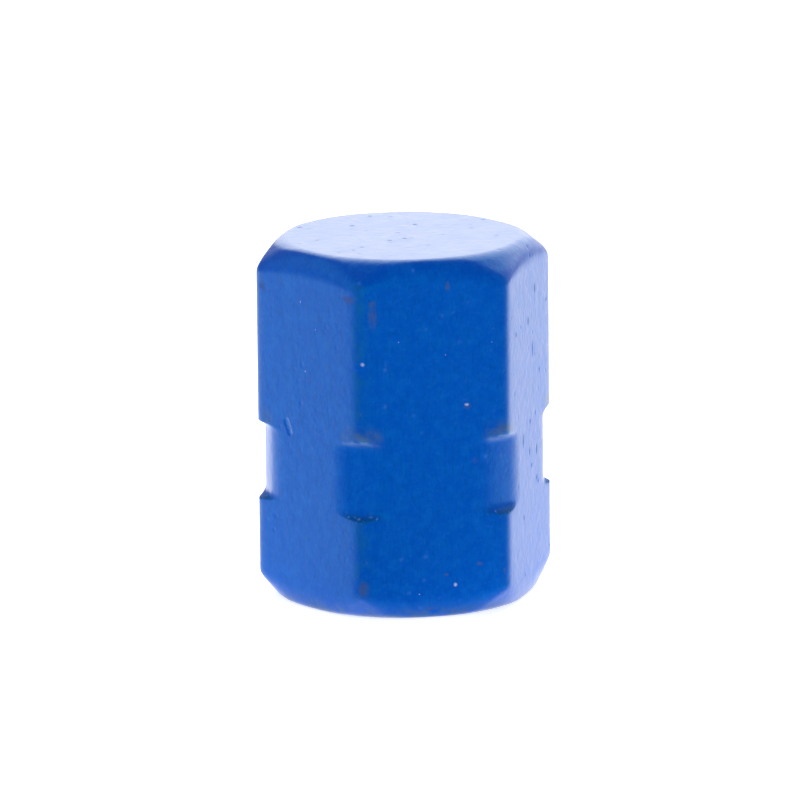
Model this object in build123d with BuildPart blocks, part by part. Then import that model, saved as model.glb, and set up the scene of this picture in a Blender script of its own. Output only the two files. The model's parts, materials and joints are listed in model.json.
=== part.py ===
"""Tyre valve cap: a cap turned from hexagon bar, and the rubber ring that seals it on the valve stem.

Millimetres. The cap stands on its open end: the origin is the centre of the rim, +Z runs up the axis
to the closed top, two corners of the hexagon lie on the X axis and two flats face the Y axis.
"""

import math
import os

from build123d import *

# Valve thread, 8V1 for car tyre valves: 32 threads to the inch, 60 degree form
thread_major_diameter = 7.747
thread_pitch = 25.4 / 32
thread_length = 7.6
crest_cut = 1.0825
mouth_clearance = 0.25
mouth_angle = 45.0

# Rubber ring that the end of the valve stem is screwed against
seal_thickness = 1.5
seal_hole_diameter = 3.6
seal_edge_radius = 0.2
seal_clearance = 0.05

# Run-out groove at the blind end of the thread, which keeps the ring in
runout_depth = 0.1265
runout_gap = 0.2

# Drill point left in the middle of the ring's seat
drill_point_diameter = 2.6
drill_point_angle = 118.0

# Hexagon bar
flat_wall = 1.0
corner_radius = 0.6
top_thickness = 3.83

# Turned ends: a round face, a rounded edge, and a cone that runs out over the corners
top_face_inset = 0.32
top_cone_angle = 40.0
top_edge_radius = 0.95
rim_face_inset = 0.15
rim_cone_angle = 51.0
rim_edge_radius = 0.4

# Groove turned across the corners, with sloping walls
groove_depth = 0.41
groove_floor_height = 4.2
groove_floor_width = 2.47
groove_upper_wall_angle = 47.0
groove_lower_wall_angle = 37.0
groove_root_radius = 0.12

# The turning tools are fed in from this far beyond the corners
tool_clearance = 0.3

# Inside sizes that follow from these
thread_minor_radius = (thread_major_diameter - crest_cut * thread_pitch) / 2
mouth_radius = thread_major_diameter / 2 + mouth_clearance
mouth_depth = (mouth_radius - thread_minor_radius) / math.tan(math.radians(mouth_angle))
runout_radius = thread_major_diameter / 2 + runout_depth
runout_height = mouth_depth + thread_length
seat_height = runout_height + runout_gap + seal_thickness
drill_point_radius = drill_point_diameter / 2
drill_point_depth = drill_point_radius / math.tan(math.radians(drill_point_angle / 2))

# Outside sizes that follow from these
cap_height = seat_height + top_thickness
flat_distance = runout_radius + flat_wall
corner_reach = (flat_distance - corner_radius) / math.cos(math.radians(30)) + corner_radius
tool_radius = corner_reach + tool_clearance
top_face_radius = flat_distance - top_face_inset
top_cone_drop = (tool_radius - top_face_radius) * math.tan(math.radians(top_cone_angle))
rim_face_radius = flat_distance - rim_face_inset
rim_cone_rise = (tool_radius - rim_face_radius) * math.tan(math.radians(rim_cone_angle))
groove_radius = corner_reach - groove_depth
groove_floor_top = groove_floor_height + groove_floor_width
groove_upper_spread = (tool_radius - groove_radius) * math.tan(math.radians(groove_upper_wall_angle))
groove_lower_spread = (tool_radius - groove_radius) * math.tan(math.radians(groove_lower_wall_angle))

# Cap body: hexagon bar, turned to the outline that the lathe leaves, then bored from below
with BuildPart() as cap_body:
    with BuildSketch(Plane.XY):
        RegularPolygon(radius=flat_distance, side_count=6, major_radius=False)
        fillet(vertices(), radius=corner_radius)
    extrude(amount=cap_height)

    with BuildSketch(Plane.XZ) as turned_outline:
        with BuildLine():
            Polyline(
                (0, 0),
                (rim_face_radius, 0),
                (tool_radius, rim_cone_rise),
                (tool_radius, groove_floor_height - groove_lower_spread),
                (groove_radius, groove_floor_height),
                (groove_radius, groove_floor_top),
                (tool_radius, groove_floor_top + groove_upper_spread),
                (tool_radius, cap_height - top_cone_drop),
                (top_face_radius, cap_height),
                (0, cap_height),
                close=True,
            )
        make_face()
        outline_corners = turned_outline.vertices()
        rim_edge = outline_corners.group_by(Axis.Y)[0].sort_by(Axis.X)[-1]
        top_edge = outline_corners.group_by(Axis.Y)[-1].sort_by(Axis.X)[-1]
        groove_roots = outline_corners.filter_by(lambda corner: math.isclose(corner.X, groove_radius))
        fillet(rim_edge, radius=rim_edge_radius)
        fillet(top_edge, radius=top_edge_radius)
        fillet(groove_roots, radius=groove_root_radius)
    revolve(axis=Axis.Z, mode=Mode.INTERSECT)

    with BuildSketch(Plane.XZ):
        with BuildLine():
            Polyline(
                (0, 0),
                (mouth_radius, 0),
                (thread_minor_radius, mouth_depth),
                (thread_minor_radius, runout_height),
                (runout_radius, runout_height),
                (runout_radius, seat_height),
                (drill_point_radius, seat_height),
                (0, seat_height + drill_point_depth),
                close=True,
            )
        make_face()
    revolve(axis=Axis.Z, mode=Mode.SUBTRACT)
cap_body.part.label = "cap_body"

# Seal ring: lies on the seat at the blind end, kept in by the crests of the thread below it
with BuildPart() as seal_ring:
    with BuildSketch(Plane.XY.offset(seat_height - seal_thickness)):
        Circle(radius=runout_radius - seal_clearance)
        Circle(radius=seal_hole_diameter / 2, mode=Mode.SUBTRACT)
    extrude(amount=seal_thickness)
    fillet(seal_ring.edges().filter_by(GeomType.CIRCLE), radius=seal_edge_radius)
seal_ring.part.label = "seal_ring"

os.makedirs("parts", exist_ok=True)
export_step(cap_body.part, "parts/cap_body.step")
export_step(seal_ring.part, "parts/seal_ring.step")
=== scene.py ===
# %% [markdown]
# # A painted tyre valve cap
# This lesson dresses a small metal cap that screws on a car tyre's valve stem. The cap was turned from
# hexagon bar, bored and threaded from below, and sprayed with blue satin enamel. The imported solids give
# the sizes and the frame. Here the cap gets its softly rounded painted edges, its real thread, its
# finish with a little wear and dust, and then a floor, light and a camera.

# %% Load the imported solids
import json
import math

import bpy
import numpy as np
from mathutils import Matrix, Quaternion, Vector


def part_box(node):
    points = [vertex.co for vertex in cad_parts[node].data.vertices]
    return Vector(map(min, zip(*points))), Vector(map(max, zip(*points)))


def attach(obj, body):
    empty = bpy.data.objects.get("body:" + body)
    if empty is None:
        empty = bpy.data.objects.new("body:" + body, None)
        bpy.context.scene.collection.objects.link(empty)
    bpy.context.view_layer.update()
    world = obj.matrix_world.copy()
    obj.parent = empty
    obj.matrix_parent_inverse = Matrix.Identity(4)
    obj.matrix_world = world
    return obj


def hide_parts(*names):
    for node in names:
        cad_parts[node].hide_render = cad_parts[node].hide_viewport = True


MM = 0.001
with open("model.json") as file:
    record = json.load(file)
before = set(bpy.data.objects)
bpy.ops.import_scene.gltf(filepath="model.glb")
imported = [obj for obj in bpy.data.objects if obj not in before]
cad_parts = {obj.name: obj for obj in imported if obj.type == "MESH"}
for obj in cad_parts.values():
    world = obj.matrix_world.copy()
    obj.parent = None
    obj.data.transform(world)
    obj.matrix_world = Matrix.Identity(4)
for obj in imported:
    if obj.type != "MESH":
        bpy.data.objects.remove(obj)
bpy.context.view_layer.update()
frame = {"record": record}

cap_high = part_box("cap_body")[1]
seal_low, seal_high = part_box("seal_ring")
cap_height = cap_high.z
flat_distance = cap_high.y
corner_reach = cap_high.x
thread = next(m for m in frame["record"]["mounts"] if m["name"] == "valve_thread")
thread_minor_radius = thread["dims"]["r_mm"] * MM
thread_length = thread["dims"]["length_mm"] * MM
print(f"cap {2 * flat_distance / MM:.2f} mm across flats, {cap_height / MM:.2f} mm high")

# %% [markdown]
# ## The hexagon bar
# Bar stock has six flats and slightly rounded corners. Seen along the axis, the bar's outline is one
# number for each angle: how far it is from the axis to the surface. On a flat that is the flat's
# distance divided by the cosine of the angle from the middle of the flat. At a corner two flats run into
# each other, and a logarithm eases from one to the other without a seam, as a few coats of paint do. A
# six-sided cylinder with a bevel could make it too, but a formula lets the lathe's cuts be blended with
# it later, point by point.

# %% Outline of the bar
SIXTH = math.radians(60)
HALF_SIXTH = SIXTH / 2
sharp_reach = flat_distance / math.cos(HALF_SIXTH)
corner_blend = (sharp_reach - corner_reach) / math.log(2)


def angle_from_corner(angle):
    """Angle from the nearest corner; the corners lie at every sixth of a turn from +X."""
    return (angle + HALF_SIXTH) % SIXTH - HALF_SIXTH


def bar_radius(angle):
    """Distance from the axis to the bar at each angle.

    Each of the two nearest flats is flat distance / cos(angle from the flat's middle). They are blended as
    -b ln(e^(-first / b) + e^(-second / b)), where b is what the corner has lost / ln 2.
    """
    from_corner = angle_from_corner(angle)
    first = flat_distance / np.cos(HALF_SIXTH - from_corner)
    second = flat_distance / np.cos(HALF_SIXTH + from_corner)
    return -corner_blend * np.logaddexp(-first / corner_blend, -second / corner_blend)


COLUMNS_PER_SIXTH = 44
CROWDING = 0.75
even = (np.arange(COLUMNS_PER_SIXTH) + 0.5) / COLUMNS_PER_SIXTH * 2 - 1
crowded = (1 - CROWDING) * even + CROWDING * even**3
angles = np.concatenate([i * SIXTH + HALF_SIXTH * crowded for i in range(6)])
bar = bar_radius(angles)
print(f"bar outline: {len(angles)} columns, corners blended over {corner_blend / MM:.3f} mm")

# %% [markdown]
# ## What the lathe leaves
# On the lathe the bar gets a round top face, a cone that runs out over the corners at both ends, and a
# groove so shallow that it only cuts the corners. All of that is one profile: a list of radius and
# height down the outside and over the rim. Where the profile is wider than the bar, the bar shows. The
# profile is made of straight runs and small arcs, each with as many points as it needs to look round.

# %% Sizes of the turned faces
TOP_FACE_INSET, RIM_FACE_INSET = 0.32 * MM, 0.12 * MM
GROOVE_DEPTH, TOOL_CLEARANCE = 0.35 * MM, 0.40 * MM
top_face_radius = flat_distance - TOP_FACE_INSET
top_edge_radius = 0.95 * MM
top_cone = math.radians(40)
rim_face_radius = flat_distance - RIM_FACE_INSET
rim_edge_radius = 0.65 * MM
rim_cone = math.radians(51)
groove_radius = corner_reach - GROOVE_DEPTH
groove_base, groove_top = 4.04 * MM, 6.84 * MM
groove_wall = math.radians(15)
groove_root_radius = 0.33 * MM
tool_radius = corner_reach + TOOL_CLEARANCE
print(f"groove: {GROOVE_DEPTH / MM:.2f} mm deep, {(groove_top - groove_base) / MM:.2f} mm wide")

# %% Helpers for a profile


def run(start, end, count):
    """Points on the straight line from start to end, the end left out."""
    share = np.arange(count)[:, None] / count
    return np.array(start) + share * (np.array(end) - np.array(start))


def corner_arc(before, corner, after, radius, count):
    """Points on the arc of that radius that rounds a corner between two straight runs, both ends kept.

    The arc touches each run at radius / tan(half the angle between the runs) from the corner, and its
    centre lies on the bisector at radius / sin(half the angle).
    """
    before, corner, after = (np.array(p, float) for p in (before, corner, after))
    to_before = (before - corner) / np.linalg.norm(before - corner)
    to_after = (after - corner) / np.linalg.norm(after - corner)
    half = math.acos(float(np.clip(to_before @ to_after, -1, 1))) / 2
    bisector = (to_before + to_after) / np.linalg.norm(to_before + to_after)
    centre = corner + bisector * radius / math.sin(half)
    first = corner + to_before * radius / math.tan(half) - centre
    last = corner + to_after * radius / math.tan(half) - centre
    share = np.linspace(0, 1, count)[:, None]
    sweep = math.pi - 2 * half
    spread = np.sin((1 - share) * sweep) * first + np.sin(share * sweep) * last
    return centre + spread / math.sin(sweep)


# %% Profile of the turned faces
# Points on each straight run and each arc of the profile
FACE_ROWS, CONE_ROWS, WALL_ROWS, FLOOR_ROWS = 8, 26, 18, 12
ROWS_ABOVE_GROOVE, ROWS_BELOW_GROOVE = 28, 12
TOP_ARC_POINTS, ARC_POINTS = 16, 12

groove_reach = tool_radius - groove_radius
top_cone_end = (tool_radius, cap_height - (tool_radius - top_face_radius) * math.tan(top_cone))
groove_top_end = (tool_radius, groove_top + groove_reach * math.tan(groove_wall))
groove_base_end = (tool_radius, groove_base - groove_reach * math.tan(groove_wall))
rim_cone_end = (tool_radius, (tool_radius - rim_face_radius) * math.tan(rim_cone))
roots = [(groove_radius, groove_top), (groove_radius, groove_base)]
top_edge, rim_edge = (top_face_radius, cap_height), (rim_face_radius, 0)

top_arc = corner_arc((0, cap_height), top_edge, top_cone_end, top_edge_radius, TOP_ARC_POINTS)
upper_root = corner_arc(groove_top_end, roots[0], roots[1], groove_root_radius, ARC_POINTS)
lower_root = corner_arc(roots[0], roots[1], groove_base_end, groove_root_radius, ARC_POINTS)
rim_arc = corner_arc(rim_cone_end, rim_edge, (0, 0), rim_edge_radius, ARC_POINTS)

outside = np.concatenate(
    [
        run((top_face_radius / FACE_ROWS, cap_height), top_arc[0], FACE_ROWS),
        top_arc[:-1],
        run(top_arc[-1], top_cone_end, CONE_ROWS),
        run(top_cone_end, groove_top_end, ROWS_ABOVE_GROOVE),
        run(groove_top_end, upper_root[0], WALL_ROWS),
        upper_root[:-1],
        run(upper_root[-1], lower_root[0], FLOOR_ROWS),
        lower_root[:-1],
        run(lower_root[-1], groove_base_end, WALL_ROWS),
        run(groove_base_end, rim_cone_end, ROWS_BELOW_GROOVE),
        run(rim_cone_end, rim_arc[0], CONE_ROWS),
        rim_arc,
    ]
)
print(f"outside profile: {len(outside)} rows from the top face to the rim")

# %% [markdown]
# ## The valve thread
# Inside is the standard thread of car tyre valves: 32 threads to the inch with 60 degree flanks, right
# hand. A thread is a groove that climbs one pitch for each turn, so its depth depends only on the
# height less the climb at that angle. A screw modifier could sweep a tooth up a spiral, but then its
# ends must be joined to the bore by hand. As a formula on the bore's own grid it is closed from the
# start, and it runs into the countersink at the mouth as a real tap leaves it.

# %% Profile of the bore
PITCH = 25.4 * MM / 32
ROWS_PER_PITCH = 11
CREST_FLAT, ROOT_FLAT = 1 / 4, 1 / 8
MOUTH_CLEARANCE, SEAL_CLEARANCE = 0.25 * MM, 0.05 * MM
DRILL_HALF_ANGLE = math.radians(59)
EDGE, EDGE_POINTS, ROOT_POINTS = 0.06 * MM, 5, 4
WALL_STEPS, SEAT_STEPS = 4, 5
thread_depth = 0.5413 * PITCH
thread_major_radius = thread_minor_radius + thread_depth
mouth_radius = thread_major_radius + MOUTH_CLEARANCE
mouth_depth = mouth_radius - thread_minor_radius
thread_top = mouth_depth + thread_length
runout_radius = seal_high.x + SEAL_CLEARANCE
seat_height = seal_high.z
drill_point_radius = 1.3 * MM
drill_point_height = seat_height + drill_point_radius / math.tan(DRILL_HALF_ANGLE)


def thread_form(height, angle):
    """Share of the thread's depth that is cut at each point: 1 in the root, 0 on the crest.

    The climb is height / pitch - angle / full turn. Root flats are an eighth of the pitch wide, crest
    flats a quarter, with straight flanks between them.
    """
    climb = height / PITCH - angle / (2 * math.pi)
    from_root = np.abs(climb % 1 - 0.5)
    flank_end = 0.5 - CREST_FLAT / 2
    return np.clip((flank_end - from_root) / (flank_end - ROOT_FLAT / 2), 0, 1)


mouth = (mouth_radius, 0)
mouth_end = (thread_minor_radius, mouth_depth)
thread_end = (thread_minor_radius, thread_top)
runout_start = (runout_radius, thread_top)
seat_edge = (runout_radius, seat_height)
drill_edge = (drill_point_radius, seat_height)
drill_tip = (0, drill_point_height)
mouth_arc = corner_arc(rim_edge, mouth, mouth_end, EDGE, EDGE_POINTS)
bore_heights = np.arange(mouth_arc[-1][1], thread_top - EDGE, PITCH / ROWS_PER_PITCH)[1:]
bore_radii = np.maximum(thread_minor_radius, mouth_radius - bore_heights)
runout_root = corner_arc(thread_end, runout_start, seat_edge, EDGE, ROOT_POINTS)
seat_root = corner_arc(runout_start, seat_edge, drill_edge, EDGE, ROOT_POINTS)
drill_lip = corner_arc(seat_edge, drill_edge, drill_tip, EDGE, ROOT_POINTS)
inside = np.concatenate(
    [
        mouth_arc,
        np.stack([bore_radii, bore_heights], axis=1),
        corner_arc(mouth_end, thread_end, runout_start, EDGE, EDGE_POINTS),
        runout_root,
        run(runout_root[-1], seat_root[0], WALL_STEPS)[1:],
        seat_root,
        run(seat_root[-1], drill_lip[0], SEAT_STEPS)[1:],
        drill_lip,
        run(drill_lip[-1], drill_tip, WALL_STEPS)[1:],
    ]
)
print(f"bore profile: {len(inside)} rows, {thread_length / PITCH:.1f} turns of thread")

# %% [markdown]
# ## One closed skin
# The bar and the turned profile meet in edges that polishing and paint have softened. Taking the smaller
# of the two radii gives a sharp edge; a smooth minimum, which eases from one to the other where they are
# nearly equal, gives a rounded one. How far it eases is a length of its own for the rim, the groove and
# the top. At both ends it grows from the corners to the middle of the flats, where the top edge is nearly
# a quarter circle.

# %% Helpers for the skin


def smooth_minimum(first, second, softness):
    """The smaller of two lengths, less (softness - gap)^2 / (4 softness) where their gap is smaller."""
    gap = np.abs(first - second)
    return np.minimum(first, second) - np.maximum(softness - gap, 0) ** 2 / (4 * softness)


def grid_mesh(name, rows, closed_rows=False):
    """A mesh from a grid of points, rows by columns by 3, closed round the columns.

    Each square of the grid is a face. Open rows end in a pole, the mean of the row, joined by triangles.
    """
    row_count, column_count = rows.shape[:2]
    index = np.arange(row_count * column_count).reshape(row_count, column_count)
    beside = np.roll(index, -1, axis=1)
    points = rows.reshape(-1, 3)
    if closed_rows:
        below, below_beside = np.roll(index, -1, axis=0), np.roll(beside, -1, axis=0)
        faces = np.stack([index, below, below_beside, beside], axis=-1).reshape(-1, 4).tolist()
    else:
        squares = [index[:-1], index[1:], beside[1:], beside[:-1]]
        faces = np.stack(squares, axis=-1).reshape(-1, 4).tolist()
        first_pole = np.full(column_count, len(points))
        points = np.concatenate([points, [rows[0].mean(axis=0), rows[-1].mean(axis=0)]])
        faces += np.stack([first_pole, index[0], beside[0]], axis=-1).tolist()
        faces += np.stack([beside[-1], index[-1], first_pole + 1], axis=-1).tolist()
    mesh = bpy.data.meshes.new(name)
    mesh.from_pydata(points.tolist(), [], faces)
    mesh.polygons.foreach_set("use_smooth", np.ones(len(mesh.polygons), bool))
    mesh.update()
    piece = bpy.data.objects.new(name, mesh)
    bpy.context.scene.collection.objects.link(piece)
    return piece


def turned_points(radius, height):
    """Points at that radius, height and column angle."""
    height = np.broadcast_to(height, radius.shape)
    return np.stack([radius * np.cos(angles), radius * np.sin(angles), height], axis=-1)


# %% Blend the bar with the turned faces and build the cap
RIM_ZONE, TOP_ZONE = 2.5 * MM, 9.5 * MM
# Softness at the rim, between the zones and at the top
SOFT_AT_CORNER = np.array([0.14, 0.18, 0.34]) * MM
SOFT_AT_FLAT = np.array([0.60, 0.12, 0.84]) * MM

radius, height = outside[:, :1], outside[:, 1:]
zone = np.digitize(height, [RIM_ZONE, TOP_ZONE])
middle_of_flat = np.abs(np.sin(3 * angle_from_corner(angles)))
softness = SOFT_AT_CORNER[zone] + (SOFT_AT_FLAT - SOFT_AT_CORNER)[zone] * middle_of_flat
outside_points = turned_points(smooth_minimum(radius, bar, softness), height)

radius, height = inside[:, :1], inside[:, 1:]
cut = thread_minor_radius + thread_depth * thread_form(height, angles)
in_thread = (height > mouth_arc[-1][1]) & (height < thread_top - EDGE)
inside_points = turned_points(np.where(in_thread, np.maximum(radius, cut), radius + 0 * angles), height)

cap = grid_mesh("painted_cap", np.concatenate([outside_points, inside_points]))
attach(cap, "root")
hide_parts("cap_body")
print(f"painted_cap: {len(cap.data.vertices)} points, {len(cap.data.polygons)} faces")

# %% [markdown]
# ## The seal ring
# At the end of the bore lies a rubber ring that the valve stem is screwed against. It is a rectangle
# with rounded corners carried round the axis, so the same grid makes it, closed both ways.

# %% Build the seal ring
SEAL_HOLE_RADIUS = 1.8 * MM
SEAL_EDGE_RADIUS = 0.2 * MM
SEAL_ARC_POINTS = 6
ring_corners = [
    (seal_high.x, seal_low.z),
    (seal_high.x, seal_high.z),
    (SEAL_HOLE_RADIUS, seal_high.z),
    (SEAL_HOLE_RADIUS, seal_low.z),
]
ring_arcs = [
    corner_arc(before, corner, after, SEAL_EDGE_RADIUS, SEAL_ARC_POINTS)
    for before, corner, after in zip(
        ring_corners[-1:] + ring_corners[:-1], ring_corners, ring_corners[1:] + ring_corners[:1]
    )
]
ring_profile = np.concatenate(ring_arcs)
ring_radius, ring_height = ring_profile[::-1, :1], ring_profile[::-1, 1:]
seal = grid_mesh("rubber_seal", turned_points(ring_radius + 0 * angles, ring_height), closed_rows=True)
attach(seal, "root")
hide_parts("seal_ring")
print(f"rubber_seal: {len(seal.data.polygons)} faces")

# %% [markdown]
# ## Colours and nodes
# Colours are written as the hex values that a colour picker gives, so they are turned to linear light
# once, here. One helper adds a shader node, sets its values and links its inputs.

# %% Helpers for materials


def linear(code):
    """Linear colour from an sRGB hex code: ((c + 0.055) / 1.055)^2.4, or c / 12.92 where c is dark."""
    channels = np.array([int(code[i : i + 2], 16) for i in (1, 3, 5)]) / 255
    bright = ((channels + 0.055) / 1.055) ** 2.4
    return (*np.where(channels <= 0.04045, channels / 12.92, bright).tolist(), 1.0)


def add(tree, kind, inputs=None, **settings):
    """Adds a node of that kind with its settings, then links or sets each input by its name or number."""
    node = tree.nodes.new(kind)
    for name, value in settings.items():
        setattr(node, name, value)
    for socket, value in (inputs or {}).items():
        if isinstance(value, bpy.types.NodeSocket):
            tree.links.new(value, node.inputs[socket])
        else:
            node.inputs[socket].default_value = value
    return node


def new_material(name):
    """An empty node material and its tree."""
    material = bpy.data.materials.new(name)
    material.use_nodes = True
    material.node_tree.nodes.clear()
    return material, material.node_tree


# %% [markdown]
# ## Where the paint is worn, and light painted on the groove's lips
# A cap is screwed on and off with the fingers and rattles about in pockets and tool boxes. The paint rubs
# through along the corners, on the rim and where the groove's walls break the corners, and grime stays
# there. The groove's lips also get painted light: a painted highlight along the upper lip and painted shade
# along the lower one, where real chips lie too. Those places follow the shape, so they are worked out on the
# same grid as the shape and kept in the mesh as one attribute with four channels. A pointiness node could
# guess them from the mesh, but it can't tell the groove's upper lip from its lower one.

# %% Measure the wear
GROOVE_FADE = 0.15 * MM
BAR_MARGIN = 0.05 * MM
CLEANER = 0.25
RUB_WIDTH, RIM_SCUFF = 0.30 * MM, 0.40 * MM
SCUFF_ABOVE_LIP, SCUFF_WIDTH = 0.26 * MM, 0.24 * MM
# The pale line along the groove's upper lip is a painted highlight
LIP_HIGHLIGHT_WIDTH, LIP_HIGHLIGHT_REACH = 0.09 * MM, 0.60 * MM
# The dark band along the groove's lower lip is painted shade of the recess, with real chips in it
CHIP_AND_SHADE_ABOVE_LIP, CHIP_AND_SHADE_WIDTH = 0.02 * MM, 0.10 * MM


def bell(distance, width):
    """1 where the distance is nothing, easing to nothing: e^-(distance / width)^2."""
    return np.exp(-((distance / width) ** 2))


height = outside[:, 1:]
off_corner = np.abs(angle_from_corner(angles)) * bar
groove_cut = np.maximum(bar - groove_radius, 0)
in_groove = np.clip(groove_cut / GROOVE_FADE, 0, 1)
above_upper_lip = height - groove_top - groove_cut * math.tan(groove_wall)
above_lower_lip = height - groove_base + groove_cut * math.tan(groove_wall)
bar_left = outside[:, :1] > bar - BAR_MARGIN
# Two corners opposite each other, at 60 and 240 degrees, are dirtier than the rest
dirtier = np.where(np.abs(np.sin(angles - SIXTH)) < 0.5, 1.0, CLEANER)
scuffed_lip = bell(above_upper_lip - SCUFF_ABOVE_LIP, SCUFF_WIDTH) * in_groove
wear_and_painted_light = {
    "rubbed": bell(off_corner, RUB_WIDTH) * bar_left * dirtier,
    "scuffed": np.maximum(scuffed_lip, bell(height, RIM_SCUFF)),
    # A painted highlight: a pale line along the groove's upper lip
    "painted_lip_highlight": bell(above_upper_lip, LIP_HIGHLIGHT_WIDTH) * bell(off_corner, LIP_HIGHLIGHT_REACH) * in_groove,
    # Painted shade of the recess along the groove's lower lip, with real chips in it
    "chips_and_painted_shade": bell(above_lower_lip - CHIP_AND_SHADE_ABOVE_LIP, CHIP_AND_SHADE_WIDTH) * in_groove,
}
channels = np.zeros((len(cap.data.vertices), 4), np.float32)
for i, share in enumerate(wear_and_painted_light.values()):
    channels[: share.size, i] = share.ravel()
cap.data.attributes.new("wear_and_painted_light", "FLOAT_COLOR", "POINT").data.foreach_set("color", channels.ravel())
print("wear:", {name: f"{share.mean():.3f}" for name, share in wear_and_painted_light.items()})

# %% [markdown]
# ## Marks of use
# Besides that even wear, the cap has single marks: dust that sticks to the paint, small smears of grime
# and one nick. Each is a spot on one of three faces, with its place across the face, its height, and half
# its width and height in millimetres. A shader can find a spot by the distance to its middle, so a list
# of spots is enough and no picture is needed. The coordinates are turned by half a turn behind the cap,
# so the three faces there carry the same marks.

# %% List the marks
LEFT, CENTRE, RIGHT = (math.radians(angle) for angle in (-150, -90, -30))
DUST = [
    (CENTRE, -2.70, 10.00, 0.07, 0.06),
    (CENTRE, 1.30, 8.25, 0.05, 0.045),
    (CENTRE, 0.80, 1.30, 0.06, 0.055),
    (CENTRE, 0.50, 10.20, 0.015, 0.02),
    (CENTRE, 2.30, 10.60, 0.015, 0.025),
    (CENTRE, -1.30, 10.80, 0.015, 0.02),
    (CENTRE, -2.75, 0.60, 0.06, 0.05),
    (CENTRE, -0.60, 1.00, 0.02, 0.02),
    (LEFT, -0.30, 11.95, 0.015, 0.045),
    (LEFT, 0.55, 11.00, 0.013, 0.025),
    (LEFT, -0.05, 9.30, 0.015, 0.02),
]
GRIME = [
    (LEFT, 2.40, 12.45, 0.32, 0.16),
    (LEFT, -2.40, 12.25, 0.16, 0.20),
    (LEFT, 0.20, 9.00, 0.07, 0.07),
    (LEFT, 0.00, 2.80, 0.08, 0.10),
    (LEFT, 1.90, 0.30, 0.16, 0.05),
    (CENTRE, -2.30, 12.30, 0.13, 0.13),
    (CENTRE, -2.30, 11.80, 0.16, 0.45),
    (CENTRE, 0.60, 12.85, 0.10, 0.18),
    (CENTRE, 1.32, 8.20, 0.14, 0.12),
    (CENTRE, 1.60, 6.05, 0.10, 0.12),
    (CENTRE, 1.75, 2.05, 0.13, 0.08),
    (CENTRE, 0.45, 1.70, 0.10, 0.06),
    (CENTRE, -0.10, 0.40, 0.22, 0.07),
    (CENTRE, -2.75, 1.30, 0.22, 0.30),
    (CENTRE, 2.72, 1.75, 0.06, 0.13),
    (RIGHT, 0.72, 11.90, 0.08, 0.20),
    (RIGHT, -0.15, 10.80, 0.08, 0.14),
    (RIGHT, -1.75, 10.60, 0.08, 0.10),
    (RIGHT, 0.40, 9.60, 0.07, 0.30),
    (RIGHT, -0.90, 6.30, 0.07, 0.26),
    (RIGHT, 0.85, 5.60, 0.07, 0.20),
    (RIGHT, -0.05, 5.70, 0.07, 0.16),
    (RIGHT, -0.85, 3.30, 0.07, 0.12),
]
NICK = [(LEFT, -1.14, 7.16, 0.13, 0.17), (LEFT, -1.06, 7.00, 0.13, 0.17), (LEFT, -0.98, 6.84, 0.13, 0.17)]
print(f"marks: {len(DUST)} of dust, {len(GRIME)} of grime, {len(NICK)} of the nick")

# %% [markdown]
# ## Blue satin paint
# The cap was sprayed with a satin enamel and baked. To the eye that gives a deep even blue where one looks
# straight at it and a pale milky sheen where one looks along it. Pigment flakes in the enamel colour the
# straight reflection, so the specular tint is a greenish blue, and only the glancing reflection is white.
# Under the paint are the fine lines of the drawn bar, which run up the flats, and in it are small pits that
# dust in the spray booth left. A bitmap could hold all that, but noise at the real sizes works at any
# distance.

# %% Make the paint: marks
paint, tree = new_material("satin_blue_enamel_on_aluminium")
place = add(tree, "ShaderNodeTexCoord").outputs["Object"]
parts = add(tree, "ShaderNodeSeparateXYZ", {"Vector": place}).outputs
side = add(tree, "ShaderNodeMath", {0: parts["Y"]}, operation="SIGN")
turn = add(tree, "ShaderNodeMath", {0: side.outputs[0], 1: -1.0}, operation="MULTIPLY")
turn = add(tree, "ShaderNodeCombineXYZ", {"X": turn.outputs[0], "Y": turn.outputs[0], "Z": 1.0})
turned = add(tree, "ShaderNodeVectorMath", {0: place, 1: turn.outputs[0]}, operation="MULTIPLY")

# Ragged edges for the marks: a noise of 0.15 mm moves each point by up to 0.05 mm
RAGGED = 0.10 * MM
ragged = add(tree, "ShaderNodeTexNoise", {"Vector": turned.outputs[0], "Scale": 1 / (0.15 * MM)})
ragged = add(
    tree,
    "ShaderNodeVectorMath",
    {0: ragged.outputs["Color"], 1: (RAGGED,) * 3, 2: (-RAGGED / 2,) * 3},
    operation="MULTIPLY_ADD",
)
moved = add(tree, "ShaderNodeVectorMath", {0: turned.outputs[0], 1: ragged.outputs[0]}, operation="ADD")

# Each kind of mark fades from its inner to its outer edge, in shares of the spot's half size
FAR_FROM_SPOTS = 9.0
marks = {}
for name, spots, outer, inner in (
    ("dust", DUST, 1.7, 0.1),
    ("grime", GRIME, 1.3, 0.5),
    ("nick", NICK, 1.3, 0.5),
):
    nearest = FAR_FROM_SPOTS
    for face, across, up, half_width, half_height in spots:
        outward, along = (math.cos(face), math.sin(face)), (-math.sin(face), math.cos(face))
        middle = [flat_distance * outward[k] + across * MM * along[k] for k in range(2)] + [up * MM]
        scale = [1 / (half_width * MM), 1 / (half_width * MM), 1 / (half_height * MM)]
        shift = [-m * s for m, s in zip(middle, scale)]
        spot = add(
            tree, "ShaderNodeVectorMath", {0: moved.outputs[0], 1: scale, 2: shift}, operation="MULTIPLY_ADD"
        )
        away = add(tree, "ShaderNodeVectorMath", {0: spot.outputs[0]}, operation="LENGTH")
        nearest = add(tree, "ShaderNodeMath", {0: away.outputs["Value"], 1: nearest}, operation="MINIMUM")
        nearest = nearest.outputs[0]
    mark = add(tree, "ShaderNodeMapRange", {"Value": nearest, "From Min": outer, "From Max": inner})
    marks[name] = mark.outputs[0]
print("paint: marks of", ", ".join(marks))

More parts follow.
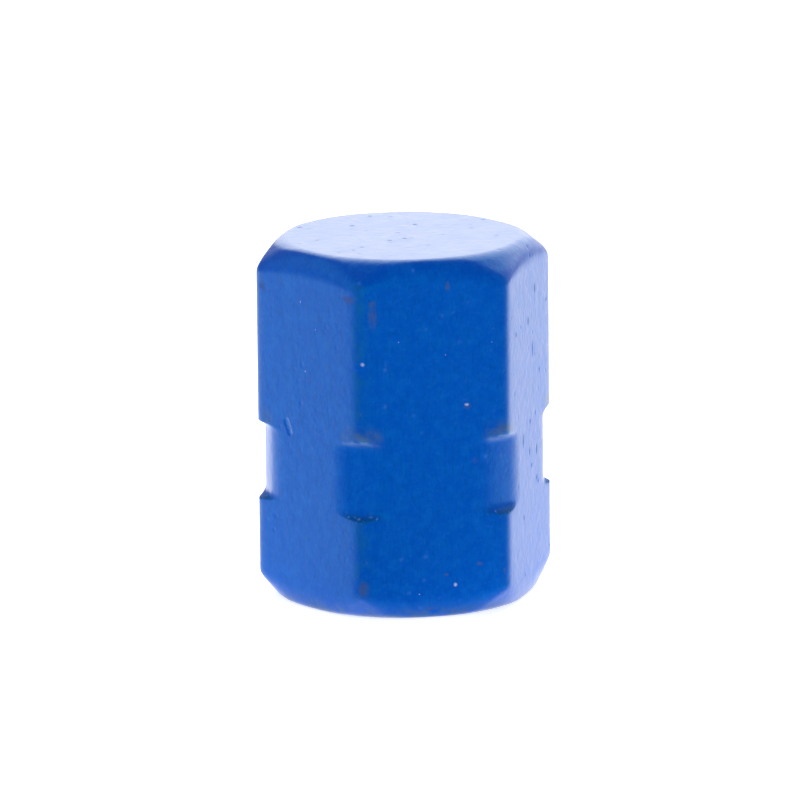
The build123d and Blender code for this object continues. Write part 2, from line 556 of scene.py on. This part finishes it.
# %% Make the paint: noise
# Noise that breaks up the wear: patches of 0.5 mm, scratches 0.10 mm wide and 0.45 mm long, specks of
# 0.15 mm, and pits 0.75 mm apart and about 0.2 mm wide
patches = add(tree, "ShaderNodeTexNoise", {"Vector": place, "Scale": 1 / (0.5 * MM), "Detail": 4.0})
scratch_size = (1 / (0.10 * MM), 1 / (0.10 * MM), 1 / (0.45 * MM))
stretched = add(tree, "ShaderNodeVectorMath", {0: place, 1: scratch_size}, operation="MULTIPLY")
scratches = add(tree, "ShaderNodeTexNoise", {"Vector": stretched.outputs[0], "Scale": 1.0, "Detail": 3.0})
specks = add(tree, "ShaderNodeTexNoise", {"Vector": place, "Scale": 1 / (0.15 * MM), "Detail": 2.0})
nibs = add(tree, "ShaderNodeTexVoronoi", {"Vector": place, "Scale": 1 / (0.75 * MM)})
nib = add(tree, "ShaderNodeMapRange", {"Value": nibs.outputs["Distance"], "From Min": 0.17, "From Max": 0.02})
# The wear attribute holds rubbed corners, scuffs, a painted highlight on the upper lip, and painted shade
# with chips on the lower lip
wear_and_light = add(tree, "ShaderNodeAttribute", attribute_name="wear_and_painted_light").outputs
wear_and_light_parts = add(tree, "ShaderNodeSeparateColor", {"Color": wear_and_light["Color"]}).outputs
print(f"paint: {len(tree.nodes)} nodes for marks, noise and wear")

# %% Make the paint: layers of colour
# The top face takes dust of its own and a pale film that also paints part of its sheen: what lies within
# 0.05 mm of the cap's height
above = add(tree, "ShaderNodeMapRange", {"Value": parts["Z"], "From Min": cap_height - 0.05 * MM})
above.inputs["From Max"].default_value = cap_height - 0.005 * MM

# Layers over the blue: colour, what it follows, its noise, the noise from which it shows and shows fully,
# and its largest share
layers = [
    ("#0A5EC2", None, patches, (0.42, 0.68), 0.38),  # paler patches
    ("#003C8E", None, scratches, (0.52, 0.70), 0.38),  # drawn lines of the bar
    ("#1E6ACC", None, specks, (0.50, 0.74), 0.16),  # grain of the spray
    ("#5A8CE0", nib.outputs[0], patches, (0.48, 0.62), 0.22),  # pits
    ("#8088A4", above.outputs[0], patches, (0.30, 0.70), 0.16),  # film of dust on the top face, partly a painted pale sheen
    ("#3A4A78", above.outputs[0], specks, (0.60, 0.70), 0.30),  # specks on the top face
    ("#14507F", wear_and_light_parts["Red"], patches, (0.38, 0.64), 0.45),  # rubbed corners
    ("#47567A", wear_and_light_parts["Green"], patches, (0.30, 0.56), 0.70),  # scuffed upper lip and rim
    ("#86BEF6", wear_and_light_parts["Blue"], patches, (0.32, 0.56), 0.55),  # painted highlight along the groove's upper lip
    ("#0B4A6E", wear_and_light["Alpha"], patches, (0.30, 0.50), 0.55),  # painted shade along the groove's lower lip, dark
    ("#6FA4D4", wear_and_light["Alpha"], specks, (0.58, 0.70), 0.40),  # chipped lower lip, pale specks
    ("#465076", marks["grime"], scratches, (0.30, 0.55), 0.52),  # grime
    ("#C9D6F2", marks["dust"], patches, (0.10, 0.30), 0.75),  # dust
]
colour = linear("#0147B6")
for code, followed, noise, shows, most in layers:
    share = add(tree, "ShaderNodeMapRange", {"Value": noise.outputs["Fac"], "To Max": most})
    share.inputs["From Min"].default_value, share.inputs["From Max"].default_value = shows
    if followed is not None:
        share = add(tree, "ShaderNodeMath", {0: share.outputs[0], 1: followed}, operation="MULTIPLY")
    colour = add(
        tree, "ShaderNodeMix", {0: share.outputs[0], 6: colour, 7: linear(code)}, data_type="RGBA"
    ).outputs[2]
print(f"paint: {len(layers)} layers over the blue")

# %% [markdown]
# ## The paint's surface
# Sprayed enamel isn't flat: it keeps a faint orange peel, and it dips and swells over the drawn lines of
# the bar, the grain of the spray and single pits. Seen straight on none of that shows, but a flat seen at
# a glance breaks up into short dashes. So these are heights, added up in thousandths of a millimetre and
# given to one bump node, and they cost no geometry. The gloss varies a little too, and grime, rubbed
# corners, pits and the groove's lower lip, with its chips and painted shade, are duller.

# %% Make the paint: surface
SATIN_LEAST, SATIN_MOST = 0.29, 0.35
PAINT_IOR = 1.4
FLAKE_TINT = (0.0, 0.8, 1.0, 1.0)

# Drawn lines 0.16 mm wide and 0.9 mm long, and an orange peel of 0.40 mm
streak_size = (1 / (0.16 * MM), 1 / (0.16 * MM), 1 / (0.9 * MM))
stretched = add(tree, "ShaderNodeVectorMath", {0: place, 1: streak_size}, operation="MULTIPLY")
streaks = add(tree, "ShaderNodeTexNoise", {"Vector": stretched.outputs[0], "Scale": 1.0, "Detail": 2.0})
peel = add(tree, "ShaderNodeTexNoise", {"Vector": place, "Scale": 1 / (0.40 * MM), "Detail": 2.0})

# Heights in thousandths of a millimetre
surface = 0.0
for source, most in (
    (streaks.outputs["Fac"], 1.5),
    (specks.outputs["Fac"], 4.0),
    (nib.outputs[0], -10.0),
    (peel.outputs["Fac"], 15.0),
    (marks["nick"], -32.0),
):
    surface = add(tree, "ShaderNodeMath", {0: source, 1: most, 2: surface}, operation="MULTIPLY_ADD")
    surface = surface.outputs[0]
bump = add(tree, "ShaderNodeBump", {"Height": surface, "Distance": 0.001 * MM, "Strength": 1.0})

# Roughness: satin, and what grime, rubbed corners, the chipped and shade-painted lower lip and pits add to it
pitted = add(tree, "ShaderNodeMapRange", {"Value": patches.outputs["Fac"], "From Min": 0.42, "From Max": 0.6})
pitted = add(tree, "ShaderNodeMath", {0: nib.outputs[0], 1: pitted.outputs[0]}, operation="MULTIPLY")
dull = add(
    tree,
    "ShaderNodeMapRange",
    {
        "Value": patches.outputs["Fac"],
        "From Min": 0.3,
        "From Max": 0.7,
        "To Min": SATIN_LEAST,
        "To Max": SATIN_MOST,
    },
).outputs[0]
for source, most in (
    (marks["grime"], 0.30),
    (wear_and_light_parts["Red"], 0.14),
    (wear_and_light["Alpha"], 0.40),
    (pitted.outputs[0], 0.40),
):
    dull = add(tree, "ShaderNodeMath", {0: source, 1: most, 2: dull}, operation="MULTIPLY_ADD")
    dull = dull.outputs[0]
shader = add(
    tree,
    "ShaderNodeBsdfPrincipled",
    {
        "Base Color": colour,
        "Roughness": dull,
        "IOR": PAINT_IOR,
        "Specular Tint": FLAKE_TINT,
        "Normal": bump.outputs["Normal"],
    },
)
add(tree, "ShaderNodeOutputMaterial", {"Surface": shader.outputs["BSDF"]})
cap.data.materials.append(paint)
print(f"paint: {paint.name}, {len(tree.nodes)} nodes")

# %% [markdown]
# ## Bare aluminium in the bore
# The bore is tapped after painting or masked in the spray booth, so past the countersink it is bare metal.
# A tap and a boring tool leave fine rings round the wall, which turn the light into soft bands. The rings
# are noise that is very short along the axis. The faces of the bore take a second material slot of the
# same piece, because the cap is one piece.

# %% Make the bare metal
metal, tree = new_material("machined_aluminium")
place = add(tree, "ShaderNodeTexCoord").outputs["Object"]
# Rings 0.06 mm apart, even over 3 mm round the wall
ring_size = (1 / (3.0 * MM), 1 / (3.0 * MM), 1 / (0.06 * MM))
stretched = add(tree, "ShaderNodeVectorMath", {0: place, 1: ring_size}, operation="MULTIPLY")
rings = add(tree, "ShaderNodeTexNoise", {"Vector": stretched.outputs[0], "Scale": 1.0, "Detail": 3.0})
rough = add(tree, "ShaderNodeMapRange", {"Value": rings.outputs["Fac"], "To Min": 0.25, "To Max": 0.45})
shade = add(
    tree,
    "ShaderNodeMix",
    {0: rings.outputs["Fac"], 6: linear("#B4B6B9"), 7: linear("#D3D4D6")},
    data_type="RGBA",
)
bump = add(tree, "ShaderNodeBump", {"Height": rings.outputs["Fac"], "Distance": 0.004 * MM})
shader = add(
    tree,
    "ShaderNodeBsdfPrincipled",
    {
        "Base Color": shade.outputs[2],
        "Metallic": 1.0,
        "Roughness": rough.outputs[0],
        "Normal": bump.outputs["Normal"],
    },
)
add(tree, "ShaderNodeOutputMaterial", {"Surface": shader.outputs["BSDF"]})
cap.data.materials.append(metal)
bare_from = (len(outside) + len(mouth_arc) + int(mouth_depth / PITCH * ROWS_PER_PITCH)) * len(angles)
# The faces run in rows from the top face to the drill point, then come the poles at those two ends
slots = np.zeros(len(cap.data.polygons), np.int32)
slots[bare_from : -2 * len(angles)] = 1
slots[-len(angles) :] = 1
cap.data.polygons.foreach_set("material_index", slots)
print(f"bare metal: {int(slots.sum())} faces of the bore")

# %% [markdown]
# ## Nitrile rubber
# The ring is moulded nitrile rubber, matt and nearly black, with the fine grain of an eroded mould. A
# noise of a tenth of a millimetre gives the grain, and a coarser one the dusty bloom that old rubber has.

# %% Make the rubber
rubber, tree = new_material("moulded_nitrile_rubber")
place = add(tree, "ShaderNodeTexCoord").outputs["Object"]
grain = add(tree, "ShaderNodeTexNoise", {"Vector": place, "Scale": 1 / (0.12 * MM), "Detail": 2.0})
bloom = add(tree, "ShaderNodeTexNoise", {"Vector": place, "Scale": 1 / (1.2 * MM), "Detail": 4.0})
shade = add(
    tree,
    "ShaderNodeMix",
    {0: bloom.outputs["Fac"], 6: linear("#161617"), 7: linear("#2B2A29")},
    data_type="RGBA",
)
rough = add(tree, "ShaderNodeMapRange", {"Value": bloom.outputs["Fac"], "To Min": 0.45, "To Max": 0.75})
bump = add(tree, "ShaderNodeBump", {"Height": grain.outputs["Fac"], "Distance": 0.006 * MM})
shader = add(
    tree,
    "ShaderNodeBsdfPrincipled",
    {
        "Base Color": shade.outputs[2],
        "Roughness": rough.outputs[0],
        "IOR": 1.52,
        "Normal": bump.outputs["Normal"],
    },
)
add(tree, "ShaderNodeOutputMaterial", {"Surface": shader.outputs["BSDF"]})
seal.data.materials.append(rubber)
print("rubber:", rubber.name)

# %% [markdown]
# ## Floor
# The cap stands on white paper. The paper is matt and takes the cap's shadow. Part of its white is shown
# only to the camera and to the paint's reflections, so that it looks as white as overexposed paper does
# without throwing more light on the cap. In reflections the paper is white behind the cap and dimmer in
# front of it, as it is in a studio where the light comes from behind.

# %% Floor
FLOOR_HALF = 1.5
VIEW_AZIMUTH = -12.57
SHOWN_TO_CAMERA = 0.68
WHITE_UP_TO, DIM_FROM = -5 * MM, 30 * MM
WHITE_PAPER, DIM_PAPER = 1.0, 0.2
TOWARDS_VIEWER = (math.sin(math.radians(VIEW_AZIMUTH)), -math.cos(math.radians(VIEW_AZIMUTH)), 0)
bpy.ops.mesh.primitive_plane_add(size=2 * FLOOR_HALF, location=(0, 0, 0))
floor = bpy.context.active_object
floor.name = "floor"
card, tree = new_material("white_studio_paper")
ray = add(tree, "ShaderNodeLightPath").outputs
matt = add(tree, "ShaderNodeBsdfDiffuse", {"Color": linear("#F2F2F2")})
place = add(tree, "ShaderNodeTexCoord").outputs["Object"]
ahead = add(tree, "ShaderNodeVectorMath", {0: place, 1: TOWARDS_VIEWER}, operation="DOT_PRODUCT")
shown = add(
    tree,
    "ShaderNodeMapRange",
    {
        "Value": ahead.outputs["Value"],
        "From Min": WHITE_UP_TO,
        "From Max": DIM_FROM,
        "To Min": WHITE_PAPER,
        "To Max": DIM_PAPER,
    },
)
mirrored = add(
    tree, "ShaderNodeMath", {0: ray["Is Glossy Ray"], 1: ray["Is Transmission Ray"]}, operation="MAXIMUM"
)
mirrored = add(tree, "ShaderNodeMath", {0: mirrored.outputs[0], 1: shown.outputs[0]}, operation="MULTIPLY")
seen = add(tree, "ShaderNodeMath", {0: ray["Is Camera Ray"], 1: SHOWN_TO_CAMERA}, operation="MULTIPLY")
strength = add(tree, "ShaderNodeMath", {0: mirrored.outputs[0], 1: seen.outputs[0]}, operation="ADD")
glow = add(tree, "ShaderNodeEmission", {"Strength": strength.outputs[0]})
both = add(tree, "ShaderNodeAddShader", {0: matt.outputs[0], 1: glow.outputs[0]})
add(tree, "ShaderNodeOutputMaterial", {"Surface": both.outputs[0]})
floor.data.materials.append(card)
print("floor:", card.name)

# %% [markdown]
# ## Studio walls and ceiling
# The world is a white room that is bright at the height of the lamps, dimmer overhead and darkest behind
# the light table. In reflections the walls in front of the table are white, and the camera sees the whole
# room as plain white.

# %% World
HORIZON, BEHIND, ZENITH = 0.7, 0.25, 0.42
DARKEST_AT, BRIGHTEST_AT = -0.7, 0.2
world = bpy.data.worlds.new("white_studio")
bpy.context.scene.world = world
world.use_nodes = True
tree = world.node_tree
tree.nodes.clear()
ray = add(tree, "ShaderNodeLightPath").outputs
towards = add(tree, "ShaderNodeTexCoord").outputs["Generated"]
rise = add(tree, "ShaderNodeSeparateXYZ", {"Vector": towards}).outputs["Z"]
ahead = add(tree, "ShaderNodeVectorMath", {0: towards, 1: TOWARDS_VIEWER}, operation="DOT_PRODUCT")
mirrored = add(
    tree, "ShaderNodeMath", {0: ray["Is Glossy Ray"], 1: ray["Is Transmission Ray"]}, operation="MAXIMUM"
)
walls = add(tree, "ShaderNodeMath", {0: mirrored.outputs[0], 1: HORIZON}, operation="MAXIMUM")
horizon = add(
    tree,
    "ShaderNodeMapRange",
    {
        "Value": ahead.outputs["Value"],
        "From Min": DARKEST_AT,
        "From Max": BRIGHTEST_AT,
        "To Min": BEHIND,
        "To Max": walls.outputs[0],
    },
)
room = add(tree, "ShaderNodeMapRange", {"Value": rise, "To Min": horizon.outputs[0], "To Max": ZENITH})
white = add(tree, "ShaderNodeMath", {0: room.outputs[0], 1: ray["Is Camera Ray"]}, operation="MAXIMUM")
sky = add(tree, "ShaderNodeBackground", {"Strength": white.outputs[0]})
add(tree, "ShaderNodeOutputWorld", {"Surface": sky.outputs[0]})
print(f"world: {HORIZON} at the horizon, {ZENITH} overhead")

# %% [markdown]
# ## Lamps
# The cap stands where a light table begins, a sheet of white acrylic lit from below that runs away behind
# it. Flats seen at a glance mirror the table and turn pale, while the flat that faces the camera mirrors
# the darker paper in front and keeps its deep blue. A softbox behind the table is mirrored in the top
# face, one beside the camera lights the front, and two weak ones fill the sides. Spots would be simpler,
# but they leave hard highlights that satin paint in a soft studio doesn't show. A lamp's power comes from
# its radiance, so that 1 means as bright as white paper.

# %% Lamps
TABLE_SIZE = 0.2
TABLE_EDGE = 6.3 * MM
TABLE_HEIGHT = 0.02 * MM
TABLE_RADIANCE = 0.62
WARM_WHITE = (1.0, 0.97, 0.92)


def hang(lamp, place, target):
    """Hangs a lamp at a place, turned to its target, out of the camera's sight."""
    holder = bpy.data.objects.new(lamp.name, lamp)
    holder.location = place
    holder.rotation_mode = "QUATERNION"
    holder.rotation_quaternion = (Vector(place) - Vector(target)).to_track_quat("Z", "Y")
    holder.visible_camera = False
    bpy.context.scene.collection.objects.link(holder)
    return holder


def softbox(name, turn, elevation, distance, width, tall, radiance):
    """A rectangular lamp, turned so far from the camera round the cap; power = 4 x radiance x area."""
    a, e = math.radians(VIEW_AZIMUTH + turn), math.radians(elevation)
    middle = Vector((0, 0, cap_height / 2))
    away = Vector((math.sin(a) * math.cos(e), -math.cos(a) * math.cos(e), math.sin(e)))
    lamp = bpy.data.lights.new(name, "AREA")
    lamp.shape, lamp.size, lamp.size_y = "RECTANGLE", width, tall
    lamp.energy = 4 * radiance * width * tall
    hang(lamp, middle + away * distance, middle)
    return lamp


back = softbox("back_softbox", turn=166, elevation=33, distance=0.45, width=0.56, tall=0.49, radiance=2.55)
back.color = WARM_WHITE
softbox("front_softbox", turn=0, elevation=14, distance=0.6, width=0.4, tall=0.4, radiance=1.8)
softbox("left_softbox", turn=-80, elevation=30, distance=0.5, width=0.5, tall=0.3, radiance=0.7)
softbox("right_softbox", turn=80, elevation=15, distance=0.5, width=0.5, tall=0.24, radiance=0.2)
table = bpy.data.lights.new("light_table", "AREA")
table.size = TABLE_SIZE
table.color = WARM_WHITE
table.energy = 4 * TABLE_RADIANCE * TABLE_SIZE**2
table_middle = Vector(TOWARDS_VIEWER) * (TABLE_EDGE - TABLE_SIZE / 2) + Vector((0, 0, TABLE_HEIGHT))
holder = hang(table, table_middle, table_middle + Vector((0, 0, 1)))
squared = Quaternion((0, 0, 1), math.radians(VIEW_AZIMUTH))
holder.rotation_quaternion = squared @ holder.rotation_quaternion

# %% [markdown]
# ## Camera
# The camera looks slightly down at one flat, turned a little so that the flats beside it show unequally.
# A long lens keeps the sides nearly parallel. Its angles were found by fitting the cap's outline.

# %% Camera
VIEW_ELEVATION = 12.85
VIEW_DISTANCE = 371 * MM
VIEW_ROLL = math.radians(0.556)
PIXELS_PER_MM = 26.23
PICTURE_WIDTH = 800
AIM_RIGHT = -0.155 * MM
AIM_UP = 0.480 * MM

a, e = math.radians(VIEW_AZIMUTH), math.radians(VIEW_ELEVATION)
towards_camera = Vector((math.sin(a) * math.cos(e), -math.cos(a) * math.cos(e), math.sin(e)))
rightwards = Vector((math.cos(a), math.sin(a), 0))
upwards = towards_camera.cross(rightwards)
aim = Vector((0, 0, cap_height / 2)) + AIM_RIGHT * rightwards + AIM_UP * upwards
lens = bpy.data.cameras.new("camera")
lens.sensor_width = 36.0
lens.lens = PIXELS_PER_MM / MM * VIEW_DISTANCE / PICTURE_WIDTH * lens.sensor_width
lens.clip_start, lens.clip_end = 0.01, 10.0
camera = bpy.data.objects.new("camera", lens)
camera.location = aim + VIEW_DISTANCE * towards_camera
camera.rotation_mode = "QUATERNION"
camera.rotation_quaternion = (-towards_camera).to_track_quat("-Z", "Y") @ Quaternion((0, 0, 1), -VIEW_ROLL)
bpy.context.scene.collection.objects.link(camera)
bpy.context.scene.camera = camera
bpy.context.scene.view_settings.view_transform = "Standard"
print(f"camera: {lens.lens:.0f} mm lens")
